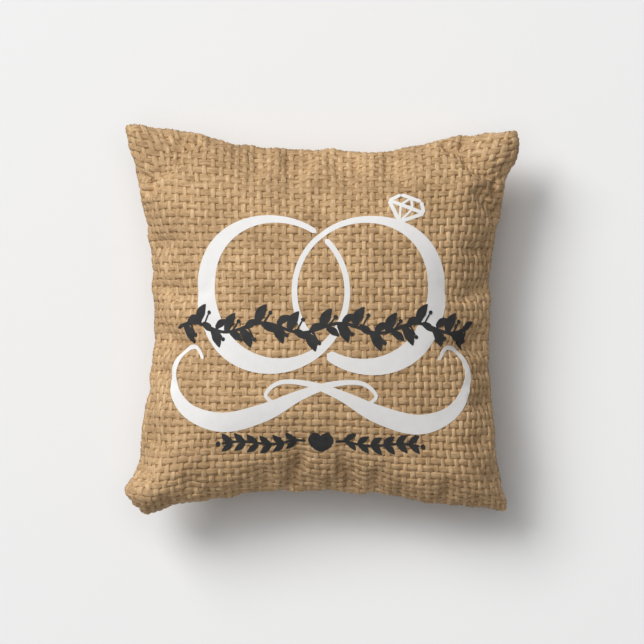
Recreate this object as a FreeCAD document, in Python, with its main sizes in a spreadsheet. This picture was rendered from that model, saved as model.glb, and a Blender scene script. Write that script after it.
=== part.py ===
import FreeCAD, Part
import math
import os

import Sketcher

# A small square ring pillow, lying on its back with its front face up.
# +Z is up out of the front face, +X runs along the zipped edge, and the zip is on the -Y side.
# The origin is the middle of the patch that the pillow rests on.

V = FreeCAD.Vector
UP = V(0, 0, 1)

doc = FreeCAD.newDocument("ring_pillow")

# ---------------------------------------------------------------- sizes

SIZES = [
    ("seam_half", 86.0, "seam outline: half width at the middle of a side"),
    ("corner_reach", 14.0, "how much further out the corners reach than the middles"),
    ("seam_height", 36.0, "height of the seam plane above the floor"),
    ("crown", 39.0, "how far the middle of a panel stands from the seam plane"),
    ("seam_edge", 1.2, "half height of the seam's outer edge"),
    ("cover_wall", 1.2, "cover cloth and lining, together"),
    ("cover_inset", 0.8, "how far the cover's inside is set in at the seam"),
    ("insert_half", 80.2, "inner case: half width at the middle of a side"),
    ("insert_crown", 38.2, "inner case: height of the middle above the seam plane"),
    ("insert_edge", 0.5, "inner case: half height of the seam's edge"),
    ("insert_floor", 1.3, "inner case: height of its flat underside"),
    ("insert_wall", 0.5, "inner case: cloth"),
    ("fill_half", 79.4, "filling: half width at the middle of a side"),
    ("fill_crown", 37.9, "filling: height of the middle above the seam plane"),
    ("fill_floor", 1.9, "filling: height of its flat underside"),
    ("zip_row", 0.93, "place of the zip's middle line across the back panel, 1 at the seam"),
    ("zip_tilt", 50.0, "slope of the back panel at the zip, degrees"),
    ("slot_half", 4.2, "half width of the slot that shows the zip"),
    ("slot_end", 9.9, "end of the slot, degrees from the middle"),
    ("slot_top", 3.0, "how far the slot cutter stands out of the panel"),
    ("slot_floor", 3.4, "how far the slot cutter goes in"),
    ("tape_inner", 1.9, "inner edge of each tape from the middle line"),
    ("tape_outer", 6.0, "outer edge of each tape from the middle line"),
    ("tape_half", 0.225, "half thickness of the tape"),
    ("tape_end", 9.7, "end of the tapes, degrees from the middle"),
    ("chain_depth", 2.28, "depth of the chain's middle plane under the panel"),
    ("tooth_half", 0.75, "half height of a tooth"),
    ("tooth_reach", 0.7, "how far a tooth reaches past the middle line"),
    ("tooth_angle", 0.158, "width of a tooth along the chain, degrees"),
    ("tooth_pitch", 0.347, "tooth pitch along the chain, degrees"),
    ("tooth_count", 48, "teeth on each tape"),
    ("chain_start", -8.55, "first tooth, degrees from the middle"),
    ("stop_outer", 1.85, "outer edge of the end stops"),
    ("stop_inner", 0.5, "inner edge of the top stops"),
    ("stop_half", 0.85, "half height of the end stops"),
    ("stop_angle", 0.32, "length of an end stop, degrees"),
    ("top_stop_at", 9.42, "top stops, degrees from the middle"),
    ("bottom_stop_at", -9.0, "bottom stop, degrees from the middle"),
    ("slider_at", 8.5, "slider at rest, degrees from the middle"),
    ("slider_rear", 4.4, "slider: length behind its middle"),
    ("slider_front", 4.4, "slider: length ahead of its middle"),
    ("slider_rear_half", 3.1, "slider: half width at the rear"),
    ("slider_front_half", 3.7, "slider: half width at the front"),
    ("plate_gap_half", 0.95, "slider: half of the gap between its plates"),
    ("plate_thick", 0.7, "slider: plate thickness"),
    ("flange_gap_half", 0.42, "slider: half of the gap that the tape runs in"),
    ("channel_rear_half", 2.15, "slider: half width of the closed channel"),
    ("channel_front_half", 2.9, "slider: half width of the open channels"),
    ("wedge_half", 0.9, "slider: half width of the wedge"),
    ("wedge_back", 0.9, "slider: point of the wedge, ahead of the middle"),
    ("bridge_half", 0.7, "slider: half width of the bridge"),
    ("bridge_leg_in", 2.4, "slider: inner face of the bridge legs"),
    ("bridge_leg_out", 3.1, "slider: outer face of the bridge legs"),
    ("bridge_under", 3.7, "slider: underside of the bridge above the chain"),
    ("bridge_top", 4.35, "slider: top of the bridge above the chain"),
    ("pin_height", 3.08, "pull tab: height of its pin above the chain"),
    ("pin_radius", 0.45, "pull tab: radius of its pin"),
    ("tab_thick", 0.9, "pull tab: thickness"),
    ("tab_half", 2.0, "pull tab: half width"),
    ("tab_window_half", 1.0, "pull tab: half width of its window"),
    ("tab_window_end", 4.1, "pull tab: end of its window, from the pin"),
    ("tab_length", 9.2, "pull tab: length from the pin to the round end's centre"),
    ("tab_hole", 0.9, "pull tab: radius of the hole near its end"),
    ("thread_radius", 0.25, "sewing thread"),
    ("stitch_length", 2.2, "length of one stitch"),
    ("stitch_pitch", 3.4, "stitch pitch"),
    ("print_gap", 0.05, "white print: clearance over the cloth"),
    ("print_thick", 0.2, "thickness of a printed film"),
    ("dark_gap", 0.3, "dark print: clearance over the cloth, so it lies over the white"),
    ("ring_outer", 37.0, "printed rings: outer radius"),
    ("ring_inner", 30.5, "printed rings: inner radius"),
    ("ring_apart", 23.0, "printed rings: centres from the middle"),
    ("ring_up", 9.0, "printed rings: centres above the middle"),
    ("vine_half", 76.0, "printed vine: half length"),
    ("vine_down", -4.5, "printed vine: its line below the middle"),
    ("vine_stem", 1.6, "printed vine: stem width"),
    ("leaf_length", 13.0, "printed vine: leaf length"),
    ("leaf_bulge", 2.6, "printed vine: half width of a leaf"),
    ("garland_half", 52.0, "printed garland: half length"),
    ("garland_down", -62.0, "printed garland: its line below the middle"),
]

sheet = doc.addObject("Spreadsheet::Sheet", "sizes")
size = {}


def put(alias, value, note):
    """Write one size into the next row of the sheet."""
    row = len(size) + 1
    sheet.set(f"A{row}", note)
    sheet.set(f"B{row}", str(value))
    sheet.setAlias(f"B{row}", alias)
    size[alias] = float(value)


for alias, value, note in SIZES:
    put(alias, value, note)
doc.recompute()


# ---------------------------------------------------------------- cushion surfaces


def fullness(u, v):
    """1 in the middle of a panel, 0 along its seam, for u and v from -1 to 1."""
    across = 1 - u * u
    along = 1 - v * v
    if across <= 1e-9 or along <= 1e-9:
        return 0.0
    return math.sqrt(2 / (1 / across**2 + 1 / along**2))


def cushion_point(u, v, half, crown, edge, side):
    """A point of a crowned panel. side is 1 for the front and -1 for the back."""
    reach = size["corner_reach"]
    x = u * (half + reach * v * v)
    y = v * (half + reach * u * u)
    z = size["seam_height"] + side * (edge + crown * fullness(u, v))
    return V(x, y, z)


def dome_face(half, crown, edge, side):
    """One crowned panel as a B-spline face through a grid of its points."""
    steps = 24
    marks = [math.sin(math.pi / 2 * (2 * i / steps - 1)) for i in range(steps + 1)]
    marks[0], marks[-1] = -1.0, 1.0
    rows = [[cushion_point(u, v, half, crown, edge, side) for v in marks] for u in marks]
    surface = Part.BSplineSurface()
    surface.interpolate(rows)
    return surface.toShape()


def dome_solid(half, crown, edge, side):
    """The solid between a crowned panel and the seam plane."""
    top = dome_face(half, crown, edge, side)
    faces = [top]
    rim = top.Edges
    if edge > 0:
        drop = V(0, 0, -side * edge)
        low = []
        for upper in rim:
            lower = upper.copy()
            lower.translate(drop)
            faces.append(Part.makeRuledSurface(upper, lower))
            low.append(lower)
        rim = low
    faces.append(Part.Face(Part.Wire(Part.__sortEdges__(rim))))
    shell = Part.makeShell(faces)
    shell.sewShape()
    solid = Part.makeSolid(Part.Shell(shell.Faces))
    if solid.Volume < 0:
        solid.reverse()
    return solid


def helper(name, shape):
    """A hidden building solid."""
    feature = doc.addObject("Part::Feature", name)
    feature.Shape = shape
    return feature


def above(name, shape_feature, height_alias):
    """The part of a solid that is above a height."""
    slab = doc.addObject("Part::Box", name + "_space")
    slab.Length = slab.Width = 260
    slab.Height = 120
    slab.Placement.Base = V(-130, -130, size[height_alias])
    slab.setExpression("Placement.Base.z", f"sizes.{height_alias}")
    kept = doc.addObject("Part::Common", name)
    kept.Base = shape_feature
    kept.Tool = slab
    return kept


def cut(name, base, tool):
    """base without tool."""
    result = doc.addObject("Part::Cut", name)
    result.Base = base
    result.Tool = tool
    return result


put("floor", 0.0, "underside of the cover")
put("cover_floor", size["cover_wall"], "inside of the cover over the floor")
put("insert_inside", size["insert_floor"] + size["insert_wall"], "inside of the inner case")
doc.recompute()

cover_inner_half = size["seam_half"] - size["cover_inset"]
insert_inner_half = size["insert_half"] - size["insert_wall"]

front_outer = helper(
    "front_outer", dome_solid(size["seam_half"], size["crown"], size["seam_edge"], 1)
)
front_inner = helper("front_inner", dome_solid(cover_inner_half, size["crown"], 0, 1))
front_panel = cut("front_panel", front_outer, front_inner)

back_outer = helper(
    "back_outer", dome_solid(size["seam_half"], size["crown"], size["seam_edge"], -1)
)
back_inner = helper("back_inner", dome_solid(cover_inner_half, size["crown"], 0, -1))
back_body = above("back_body", back_outer, "floor")
back_hollow = above("back_hollow", back_inner, "cover_floor")
back_closed = cut("back_closed", back_body, back_hollow)

insert_front_outer = helper(
    "insert_front_outer",
    dome_solid(size["insert_half"], size["insert_crown"], size["insert_edge"], 1),
)
insert_front_inner = helper(
    "insert_front_inner", dome_solid(insert_inner_half, size["insert_crown"], 0, 1)
)
insert_front = cut("insert_front", insert_front_outer, insert_front_inner)

insert_back_outer = helper(
    "insert_back_outer",
    dome_solid(size["insert_half"], size["insert_crown"], size["insert_edge"], -1),
)
insert_back_inner = helper(
    "insert_back_inner", dome_solid(insert_inner_half, size["insert_crown"], 0, -1)
)
insert_back_body = above("insert_back_body", insert_back_outer, "insert_floor")
insert_back_hollow = above("insert_back_hollow", insert_back_inner, "insert_inside")
insert_back = cut("insert_back", insert_back_body, insert_back_hollow)

fill_faces = [
    dome_face(size["fill_half"], size["fill_crown"], 0, 1),
    dome_face(size["fill_half"], size["fill_crown"], 0, -1),
]
fill_shell = Part.makeShell(fill_faces)
fill_shell.sewShape()
fill_body = helper("fill_body", Part.makeSolid(Part.Shell(fill_shell.Faces)))
fibre_fill = above("fibre_fill", fill_body, "fill_floor")

# ---------------------------------------------------------------- the zip's own frame

# The zipped edge bows in towards the middle of the pillow, so the zip follows an arc whose
# centre line is upright and far outside the pillow, at -Y. Every zip part turns about it.

bow_radius = (size["seam_half"] + size["corner_reach"]) ** 2 / (2 * size["corner_reach"])
arc_y = -(size["seam_half"] + bow_radius)
zip_middle = cushion_point(
    0, -size["zip_row"], size["seam_half"], size["crown"], size["seam_edge"], -1
)
put("arc_radius", round(zip_middle.y - arc_y, 4), "radius of the zip's middle line")
put("arc_height", round(zip_middle.z, 4), "height of the zip's middle line on the panel")
doc.recompute()


def arc_placement(degrees):
    """The frame of the arc's centre line, turned to a place along the zip. + is towards +X."""
    return FreeCAD.Placement(V(0, arc_y, 0), FreeCAD.Rotation(UP, -degrees))


def new_body(label, placement):
    body = doc.addObject("PartDesign::Body", label)
    body.Label = label
    body.AllowCompound = True
    body.Placement = placement
    return body


def origin_part(body, role):
    return [f for f in body.Origin.OriginFeatures if f.Role == role][0]


def new_sketch(body, name, role):
    sketch = body.newObject("Sketcher::SketchObject", name)
    sketch.AttachmentSupport = (origin_part(body, role), [""])
    sketch.MapMode = "FlatFace"
    return sketch


def number(terms):
    """The value of a sum such as 'chain_depth - tape_half'."""
    total, sign = 0.0, 1
    for term in terms.split():
        if term in "+-":
            sign = 1 if term == "+" else -1
        else:
            total += sign * size[term]
            sign = 1
    return total


def formula(terms):
    """The same sum as an expression on the sheet."""
    return " ".join(t if t in "+-" else f"sizes.{t}" for t in terms.split())


def add_polygon(sketch, corners):
    """A closed outline. Each corner is a pair of sums, both held by the sheet."""
    first = sketch.GeometryCount
    points = [V(number(a), number(b), 0) for a, b in corners]
    count = len(points)
    for i in range(count):
        sketch.addGeometry(Part.LineSegment(points[i], points[(i + 1) % count]))
    for i in range(count):
        sketch.addConstraint(
            Sketcher.Constraint("Coincident", first + i, 2, first + (i + 1) % count, 1)
        )
    for i, (across, up) in enumerate(corners):
        for kind, terms in (("DistanceX", across), ("DistanceY", up)):
            held = Sketcher.Constraint(kind, -1, 1, first + i, 1, number(terms))
            index = sketch.addConstraint(held)
            sketch.setExpression(f"Constraints[{index}]", formula(terms))


def rectangle(low_x, low_y, high_x, high_y):
    return [(low_x, low_y), (high_x, low_y), (high_x, high_y), (low_x, high_y)]


def section_sketch(body, name):
    """A sketch across the zip: its x runs down the panel's slope and its y runs inwards."""
    sketch = new_sketch(body, name, "YZ_Plane")
    sketch.AttachmentOffset = FreeCAD.Placement(
        V(size["arc_radius"], size["arc_height"], 0), FreeCAD.Rotation(UP, -size["zip_tilt"])
    )
    sketch.setExpression("AttachmentOffset.Base.x", "sizes.arc_radius")
    sketch.setExpression("AttachmentOffset.Base.y", "sizes.arc_height")
    sketch.setExpression("AttachmentOffset.Rotation.Angle", "-sizes.zip_tilt")
    return sketch


def sweep(body, sketch, name, angle_terms, factor=1):
    """Turn a section about the arc's centre line, evenly to both sides."""
    turned = body.newObject("PartDesign::Revolution", name)
    turned.Profile = sketch
    turned.ReferenceAxis = (origin_part(body, "Z_Axis"), [""])
    turned.Midplane = True
    turned.Angle = factor * number(angle_terms)
    turned.setExpression("Angle", f"{factor} * ({formula(angle_terms)})")
    return turned


put("zero", 0.0, "nothing")
doc.recompute()

# the slot in the back panel
slot = new_body("slot_cutter", arc_placement(0))
slot_sketch = section_sketch(slot, "slot_section")
add_polygon(
    slot_sketch,
    rectangle("- slot_half", "- slot_top", "slot_half", "slot_floor"),
)
sweep(slot, slot_sketch, "slot_sweep", "slot_end", 2)
doc.recompute()
back_panel = cut("back_panel", back_closed, slot)

# the tapes, one each side of the middle line
for label, sign in (("zip_tape_front", "- "), ("zip_tape_back", "")):
    tape = new_body(label, arc_placement(0))
    section = section_sketch(tape, label + "_section")
    add_polygon(
        section,
        rectangle(
            sign + "tape_inner",
            "chain_depth - tape_half",
            sign + "tape_outer",
            "chain_depth + tape_half",
        ),
    )
    sweep(tape, section, label + "_sweep", "tape_end", 2)

# the teeth, in two rows that mesh
for label, sign, other, lag in (
    ("zip_teeth_front", "- ", "", 0.0),
    ("zip_teeth_back", "", "- ", 0.5),
):
    start = size["chain_start"] + lag * size["tooth_pitch"]
    teeth = new_body(label, arc_placement(start))
    section = section_sketch(teeth, label + "_section")
    add_polygon(
        section,
        rectangle(
            other + "tooth_reach",
            "chain_depth - tooth_half",
            sign + "tape_inner",
            "chain_depth + tooth_half",
        ),
    )
    tooth = sweep(teeth, section, label + "_tooth", "tooth_angle")
    doc.recompute()
    row = teeth.newObject("PartDesign::PolarPattern", label + "_row")
    row.Originals = [tooth]
    row.Axis = (origin_part(teeth, "Z_Axis"), [""])
    row.Reversed = True
    row.Angle = size["tooth_pitch"] * (size["tooth_count"] - 1)
    row.setExpression("Angle", "sizes.tooth_pitch * (sizes.tooth_count - 1)")
    row.Occurrences = int(size["tooth_count"])
    row.setExpression("Occurrences", "sizes.tooth_count")
    teeth.Tip = row

# the end stops
top_stops = new_body("zip_top_stops", arc_placement(size["top_stop_at"]))
section = section_sketch(top_stops, "top_stop_section")
for sign in ("- ", ""):
    add_polygon(
        section,
        rectangle(
            sign + "stop_inner",
            "chain_depth - stop_half",
            sign + "stop_outer",
            "chain_depth + stop_half",
        ),
    )
sweep(top_stops, section, "top_stop_sweep", "stop_angle")

bottom_stop = new_body("zip_bottom_stop", arc_placement(size["bottom_stop_at"]))
section = section_sketch(bottom_stop, "bottom_stop_section")
add_polygon(
    section,
    rectangle("- stop_outer", "chain_depth - stop_half", "stop_outer", "chain_depth + stop_half"),
)
sweep(bottom_stop, section, "bottom_stop_sweep", "stop_angle")

# ---------------------------------------------------------------- slider and pull tab

# Local frame: x along the zip towards its top, z straight out of the pillow, and the origin
# in the middle of the chain.

tilt = math.radians(size["zip_tilt"])
chain_base = V(
    0,
    size["arc_radius"] + size["chain_depth"] * math.sin(tilt),
    size["arc_height"] + size["chain_depth"] * math.cos(tilt),
)
facing = FreeCAD.Rotation(V(1, 0, 0), 180 - size["zip_tilt"])
slider_placement = arc_placement(size["slider_at"]).multiply(
    FreeCAD.Placement(chain_base, facing)
)


def pad(body, sketch, name, length_terms, midplane=False, factor=1):
    block = body.newObject("PartDesign::Pad", name)
    block.Profile = sketch
    block.Midplane = midplane
    block.Length = factor * number(length_terms)
    block.setExpression("Length", f"{factor} * ({formula(length_terms)})")
    return block


def lift(sketch, terms):
    """Raise a sketch above its plane."""
    sketch.AttachmentOffset = FreeCAD.Placement(V(0, 0, number(terms)), FreeCAD.Rotation())
    sketch.setExpression("AttachmentOffset.Base.z", formula(terms))


slider = new_body("zip_slider", slider_placement)
plate_outline = [
    ("- slider_rear", "- slider_rear_half"),
    ("zero", "- slider_rear_half"),
    ("wedge_back + wedge_half", "- slider_front_half"),
    ("slider_front", "- slider_front_half"),
    ("slider_front", "slider_front_half"),
    ("wedge_back + wedge_half", "slider_front_half"),
    ("zero", "slider_rear_half"),
    ("- slider_rear", "slider_rear_half"),
]
lower = new_sketch(slider, "lower_plate_outline", "XY_Plane")
lift(lower, "- plate_gap_half - plate_thick")
add_polygon(lower, plate_outline)
pad(slider, lower, "lower_plate", "plate_thick")

wedge = new_sketch(slider, "wedge_outline", "XY_Plane")
lift(wedge, "- plate_gap_half")
add_polygon(
    wedge,
    [
        ("wedge_back", "zero"),
        ("slider_front - wedge_half", "- wedge_half"),
        ("slider_front", "- wedge_half"),
        ("slider_front", "wedge_half"),
        ("slider_front - wedge_half", "wedge_half"),
    ],
)
pad(slider, wedge, "wedge", "plate_gap_half", factor=2)

upper = new_sketch(slider, "upper_plate_outline", "XY_Plane")
lift(upper, "plate_gap_half")
add_polygon(upper, plate_outline)
pad(slider, upper, "upper_plate", "plate_thick")

for name, start_terms in (("upper", "flange_gap_half"), ("lower", "- plate_gap_half")):
    flanges = new_sketch(slider, name + "_flange_outlines", "XY_Plane")
    lift(flanges, start_terms)
    for sign in ("- ", ""):
        add_polygon(
            flanges,
            [
                ("- slider_rear", sign + "channel_rear_half"),
                ("zero", sign + "channel_rear_half"),
                ("wedge_back + wedge_half", sign + "channel_front_half"),
                ("slider_front", sign + "channel_front_half"),
                ("slider_front", sign + "slider_front_half"),
                ("wedge_back + wedge_half", sign + "slider_front_half"),
                ("zero", sign + "slider_rear_half"),
                ("- slider_rear", sign + "slider_rear_half"),
            ],
        )
    pad(slider, flanges, name + "_flanges", "plate_gap_half - flange_gap_half")

bridge = new_sketch(slider, "bridge_outline", "XZ_Plane")
add_polygon(
    bridge,
    [
        ("- bridge_leg_out", "plate_gap_half + plate_thick"),
        ("- bridge_leg_in", "plate_gap_half + plate_thick"),
        ("- bridge_leg_in", "bridge_under"),
        ("bridge_leg_in", "bridge_under"),
        ("bridge_leg_in", "plate_gap_half + plate_thick"),
        ("bridge_leg_out", "plate_gap_half + plate_thick"),
        ("bridge_leg_out", "bridge_under"),
        ("bridge_leg_in", "bridge_top"),
        ("- bridge_leg_in", "bridge_top"),
        ("- bridge_leg_out", "bridge_under"),
    ],
)
pad(slider, bridge, "bridge", "bridge_half", midplane=True, factor=2)

tab = new_body("zip_pull_tab", slider_placement)
tab_sketch = new_sketch(tab, "tab_outline", "XY_Plane")
lift(tab_sketch, "pin_height - pin_radius")
half = size["tab_half"]
far = -size["tab_length"]
near = size["pin_radius"]
tab_sketch.addGeometry(Part.LineSegment(V(far, half, 0), V(near, half, 0)))
tab_sketch.addGeometry(Part.LineSegment(V(near, half, 0), V(near, -half, 0)))
tab_sketch.addGeometry(Part.LineSegment(V(near, -half, 0), V(far, -half, 0)))
tab_sketch.addGeometry(
    Part.ArcOfCircle(Part.Circle(V(far, 0, 0), UP, half), math.pi / 2, 3 * math.pi / 2)
)
tab_sketch.addConstraint(Sketcher.Constraint("Coincident", 0, 2, 1, 1))
tab_sketch.addConstraint(Sketcher.Constraint("Coincident", 1, 2, 2, 1))
tab_sketch.addConstraint(Sketcher.Constraint("Tangent", 3, 1, 0, 1))
tab_sketch.addConstraint(Sketcher.Constraint("Tangent", 2, 2, 3, 2))
tab_sketch.addConstraint(Sketcher.Constraint("Horizontal", 0))
tab_sketch.addConstraint(Sketcher.Constraint("Vertical", 1))
tab_sketch.addConstraint(Sketcher.Constraint("PointOnObject", 3, 3, -1))
index = tab_sketch.addConstraint(Sketcher.Constraint("DistanceX", 3, 3, -1, 1, -far))
tab_sketch.setExpression(f"Constraints[{index}]", "sizes.tab_length")
index = tab_sketch.addConstraint(Sketcher.Constraint("DistanceX", -1, 1, 1, 1, near))
tab_sketch.setExpression(f"Constraints[{index}]", "sizes.pin_radius")
index = tab_sketch.addConstraint(Sketcher.Constraint("Radius", 3, half))
tab_sketch.setExpression(f"Constraints[{index}]", "sizes.tab_half")
pad(tab, tab_sketch, "tab_plate", "tab_thick")

window = new_sketch(tab, "tab_window_outline", "XY_Plane")
add_polygon(
    window,
    rectangle("- tab_window_end", "- tab_window_half", "pin_radius + pin_radius", "tab_window_half"),
)
window_cut = tab.newObject("PartDesign::Pocket", "tab_window")
window_cut.Profile = window
window_cut.Type = "ThroughAll"
window_cut.Midplane = True

eye = new_sketch(tab, "tab_hole_outline", "XY_Plane")
eye.addGeometry(Part.Circle(V(far, 0, 0), UP, size["tab_hole"]))
eye.addConstraint(Sketcher.Constraint("PointOnObject", 0, 3, -1))
index = eye.addConstraint(Sketcher.Constraint("DistanceX", 0, 3, -1, 1, -far))
eye.setExpression(f"Constraints[{index}]", "sizes.tab_length")
index = eye.addConstraint(Sketcher.Constraint("Radius", 0, size["tab_hole"]))
eye.setExpression(f"Constraints[{index}]", "sizes.tab_hole")
eye_cut = tab.newObject("PartDesign::Pocket", "tab_hole")
eye_cut.Profile = eye
eye_cut.Type = "ThroughAll"
eye_cut.Midplane = True

pin = new_sketch(tab, "tab_pin_outline", "XZ_Plane")
pin.addGeometry(Part.Circle(V(0, size["pin_height"], 0), UP, size["pin_radius"]))
pin.addConstraint(Sketcher.Constraint("PointOnObject", 0, 3, -2))
index = pin.addConstraint(Sketcher.Constraint("DistanceY", -1, 1, 0, 3, size["pin_height"]))
pin.setExpression(f"Constraints[{index}]", "sizes.pin_height")
index = pin.addConstraint(Sketcher.Constraint("Radius", 0, size["pin_radius"]))
pin.setExpression(f"Constraints[{index}]", "sizes.pin_radius")
pad(tab, pin, "tab_pin", "tab_window_half", midplane=True, factor=2.2)

# ---------------------------------------------------------------- sewing thread


def stitch(middle, along, length):
    """One straight stitch as a short round bar."""
    bar = Part.makeCylinder(size["thread_radius"], length, V(0, 0, -length / 2), UP)
    bar.Placement = FreeCAD.Placement(middle, FreeCAD.Rotation(UP, along))
    return bar


def row_marks(path, first, last, pitch):
    """Values of a path's parameter that are a pitch apart, by length along the path."""
    steps = 600
    values = [first + (last - first) * i / steps for i in range(steps + 1)]
    marks, gone, wanted = [], 0.0, pitch / 2
    for before, after in zip(values, values[1:]):
        gone += path(after).distanceToPoint(path(before))
        if gone >= wanted:
            marks.append(after)
            wanted += pitch
    return marks


def seam_thread(half, edge, reach_u, length):
    """Short upright stitches over the seam's edge, on all four sides."""
    bars = []
    for quarter in range(4):
        turn = FreeCAD.Rotation(UP, 90 * quarter)

        def path(u):
            out = half + size["thread_radius"] + 0.02
            spot = V(u * (half + size["corner_reach"]), -out - size["corner_reach"] * u * u, 0)
            return turn.multVec(spot) + V(0, 0, size["seam_height"])

        for u in row_marks(path, -reach_u, reach_u, size["stitch_pitch"]):
            bars.append(stitch(path(u), UP, length))
    return Part.makeCompound(bars)


def lip_thread(row):
    """Stitches along a lip of the slot, lying on the back panel."""
    step = 1e-4

    def path(u, v=row):
        return cushion_point(u, -v, size["seam_half"], size["crown"], size["seam_edge"], -1)

    bars = []
    for u in row_marks(path, -0.6, 0.6, size["stitch_pitch"]):
        along = path(u + step) - path(u - step)
        across = path(u, row - step) - path(u, row + step)
        out = along.cross(across).normalize()
        if out.z > 0:
            out = out * -1
        middle = path(u) + out * (size["thread_radius"] + 0.03)
        bars.append(stitch(middle, along, size["stitch_length"]))
    return Part.makeCompound(bars)


seam_stitching = helper(
    "seam_stitching", seam_thread(size["seam_half"], size["seam_edge"], 0.88, 2.0)
)
insert_stitching = helper(
    "insert_stitching", seam_thread(size["insert_half"], size["insert_edge"], 0.88, 0.9)
)
zip_stitching_front = helper("zip_stitching_front", lip_thread(0.969))
zip_stitching_back = helper("zip_stitching_back", lip_thread(0.8895))

# ---------------------------------------------------------------- printed films


COLUMN_FOOT = V(0, 0, 42)
COLUMN_RISE = V(0, 0, 40)


def film(name, columns, gap_alias):
    """A printed film: upright columns of its outline, where they cross the front face."""
    column = columns[0].fuse(columns[1:]).removeSplitter()
    low = size["seam_edge"] + size[gap_alias]
    cloth = dome_face(size["seam_half"], size["crown"], low, 1)
    return helper(name, cloth.common(column).extrude(V(0, 0, size["print_thick"])))


def disc(x, y, radius):
    return Part.makeCylinder(radius, COLUMN_RISE.z, V(x, y, COLUMN_FOOT.z), UP)


def leaf(x, y, degrees, length, bulge):
    """A pointed leaf between two arcs."""
    start, tip = V(0, 0, 0), V(length, 0, 0)
    one = Part.Arc(start, V(length / 2, -bulge, 0), tip).toShape()
    two = Part.Arc(tip, V(length / 2, bulge, 0), start).toShape()
    face = Part.Face(Part.Wire([one, two]))
    face.Placement = FreeCAD.Placement(
        V(x, y, COLUMN_FOOT.z), FreeCAD.Rotation(UP, degrees)
    )
    return face.extrude(COLUMN_RISE)


def line(half_length, y, width):
    corner = V(-half_length, y - width / 2, COLUMN_FOOT.z)
    return Part.makeBox(2 * half_length, width, COLUMN_RISE.z, corner)


rings = [
    disc(sign * size["ring_apart"], size["ring_up"], size["ring_outer"]).cut(
        disc(sign * size["ring_apart"], size["ring_up"], size["ring_inner"])
    )
    for sign in (-1, 1)
]
print_rings = film("print_rings", rings, "print_gap")

vine = [line(size["vine_half"], size["vine_down"], size["vine_stem"])]
for i in range(-3, 4):
    for degrees in (35, -35):
        root = 22.0 * i - 5
        leaf_size = (size["leaf_length"], size["leaf_bulge"])
        vine.append(leaf(root, size["vine_down"], degrees, *leaf_size))
print_vine = film("print_vine", vine, "dark_gap")

garland = [line(size["garland_half"], size["garland_down"], 1.2)]
for i in range(-3, 4):
    garland.append(disc(14.0 * i, size["garland_down"], 2.2))
print_garland = film("print_garland", garland, "dark_gap")

# ---------------------------------------------------------------- write the pieces

doc.recompute()

PIECES = [
    "front_panel",
    "back_panel",
    "seam_stitching",
    "zip_tape_front",
    "zip_tape_back",
    "zip_teeth_front",
    "zip_teeth_back",
    "zip_top_stops",
    "zip_bottom_stop",
    "zip_slider",
    "zip_pull_tab",
    "zip_stitching_front",
    "zip_stitching_back",
    "insert_front",
    "insert_back",
    "insert_stitching",
    "fibre_fill",
    "print_rings",
    "print_vine",
    "print_garland",
]

for thing in doc.Objects:
    if "Invalid" in thing.State or "Error" in thing.State:
        raise RuntimeError(f"{thing.Label} did not build: {thing.State}")

os.makedirs("parts", exist_ok=True)
for label in PIECES:
    piece = doc.getObjectsByLabel(label)[0]
    if piece.Shape.isNull() or not piece.Shape.isValid():
        raise RuntimeError(f"{label} has no valid shape")
    piece.Shape.exportStep(f"parts/{label}.step")
    box = piece.Shape.optimalBoundingBox(False, False)
    print(
        f"{label:20s} solids {len(piece.Shape.Solids):4d}  volume {piece.Shape.Volume:12.2f}  "
        f"x {box.XMin:8.2f} {box.XMax:8.2f}  y {box.YMin:8.2f} {box.YMax:8.2f}  "
        f"z {box.ZMin:7.2f} {box.ZMax:7.2f}"
    )

pin_point = slider_placement.multVec(V(0, 0, size["pin_height"]))
pin_axis = slider_placement.Rotation.multVec(V(0, 1, 0))
print("slider turns about y", round(arc_y, 3))
print("tab pin", [round(c, 3) for c in pin_point], "axis", [round(c, 5) for c in pin_axis])
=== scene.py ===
import math

import bpy
import numpy as np
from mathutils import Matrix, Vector


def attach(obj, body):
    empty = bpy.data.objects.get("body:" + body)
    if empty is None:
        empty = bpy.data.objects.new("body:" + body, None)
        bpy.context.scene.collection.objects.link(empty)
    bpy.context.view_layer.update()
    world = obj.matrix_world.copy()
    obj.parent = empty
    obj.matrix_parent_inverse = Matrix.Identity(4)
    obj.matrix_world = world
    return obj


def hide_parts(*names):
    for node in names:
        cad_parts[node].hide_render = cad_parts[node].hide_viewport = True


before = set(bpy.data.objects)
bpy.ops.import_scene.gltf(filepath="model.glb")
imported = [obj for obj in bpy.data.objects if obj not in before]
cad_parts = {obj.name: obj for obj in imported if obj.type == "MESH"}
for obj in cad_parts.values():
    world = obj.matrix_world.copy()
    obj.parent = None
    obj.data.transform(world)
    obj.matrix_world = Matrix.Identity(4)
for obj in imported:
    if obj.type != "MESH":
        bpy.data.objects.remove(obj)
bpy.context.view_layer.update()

MM = 0.001

# ------------------------------------------------------------------ the cover's shape

# Lengths are in millimetres, except for the lights and the camera. The cloth has its own flat
# coordinates, s across and t up, each from -1 to 1 between seams. side is 1 for the front panel
# and -1 for the back panel, which are crowned surfaces above and below the seam's plane.

SEAM_HALF = 86.0  # from the middle of the pillow to the middle of a side
CORNER_REACH = 14.0  # how much further out than that the corners lie
SEAM_Z = 36.0
CROWN = 39.0  # rise of each panel between its edge and its middle
CLOTH_EDGE = 1.2  # half the thickness of the sewn edge
FLAT_HALF = 98.0  # half the width of a panel as it is cut
GRID = 60  # squares along a panel in the grid that carries its shape
FRONT_FULLNESS = 0.93  # the printed side is a little less full than the CAD panel

# a spot is x, y and a radius
CORNER_FILL = 17.0  # how far the filling stands out in the corners
CORNER_SPOT = (90, 90, 14)
FAR_CORNER_FILL = 0.45  # the share of it in the two far corners

DROOP = 12.0  # how far the near right corner hangs
DROOP_SPOT = (93, -93, 15)

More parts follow.
